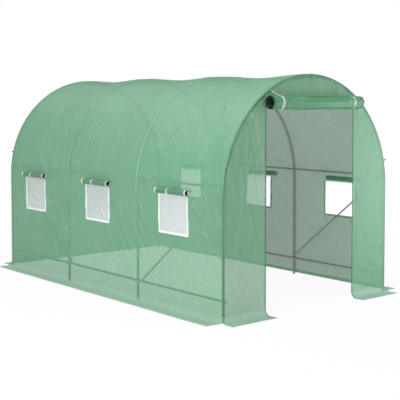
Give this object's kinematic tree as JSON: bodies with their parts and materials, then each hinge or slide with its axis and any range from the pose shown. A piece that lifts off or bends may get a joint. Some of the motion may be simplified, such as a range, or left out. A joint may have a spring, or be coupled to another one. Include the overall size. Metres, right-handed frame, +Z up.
{
  "type": "walk-in polytunnel greenhouse",
  "caption": "Walk-in polytunnel: bolted round-arch steel hoops under a sewn mesh cover with rolled door, rolled window flaps, netted windows and ground skirts.",
  "frame": {"origin": "centre of the bounding box on the ground plane", "axes": "+X to the right as seen by someone facing the doorway, +Y from the doorway to the closed end, +Z up"},
  "size_m": [2.3696, 3.8236, 2.0309],
  "materials": {
    "galvanised_tube": "galvanised, satin",
    "zinc_bolts": "zinc plated",
    "black_caps": "moulded, matt",
    "cover_mesh": "woven translucent polyethylene with a grid of reinforcing tape",
    "cover_hem": "folded and sewn polyethylene weave",
    "flap_roll": "rolled polyethylene weave",
    "insect_net": "fine see-through net",
    "white_tape": "woven webbing tape"
  },
  "bodies": {
    "root": {"front_left_leg": "galvanised_tube", "front_right_leg": "galvanised_tube", "front_arch": "galvanised_tube", "second_left_leg": "galvanised_tube", "second_right_leg": "galvanised_tube", "second_arch": "galvanised_tube", "third_left_leg": "galvanised_tube", "third_right_leg": "galvanised_tube", "third_arch": "galvanised_tube", "back_left_leg": "galvanised_tube", "back_right_leg": "galvanised_tube", "back_arch": "galvanised_tube", "ridge_rail": "galvanised_tube", "left_upper_rail": "galvanised_tube", "right_upper_rail": "galvanised_tube", "left_lower_rail": "galvanised_tube", "right_lower_rail": "galvanised_tube", "rail_end_plugs": "black_caps", "left_braces": "galvanised_tube", "right_braces": "galvanised_tube", "corner_bolts": "black_caps", "inner_bolts": "zinc_bolts", "left_wall_cover": "cover_mesh", "right_wall_cover": "cover_mesh", "roof_cover": "cover_mesh", "front_left_panel": "cover_mesh", "front_right_panel": "cover_mesh", "front_top_panel": "cover_mesh", "back_panel": "cover_mesh", "left_skirt": "cover_mesh", "right_skirt": "cover_mesh", "front_left_skirt": "cover_mesh", "front_right_skirt": "cover_mesh", "back_skirt": "cover_mesh", "door_hems": "cover_hem", "door_roll": "flap_roll", "door_ties": "white_tape", "left_window_nets": "insect_net", "right_window_nets": "insect_net", "left_window_borders": "white_tape", "right_window_borders": "white_tape", "left_window_rolls": "flap_roll", "right_window_rolls": "flap_roll", "window_ties": "white_tape"}
  },
  "joints": []
}
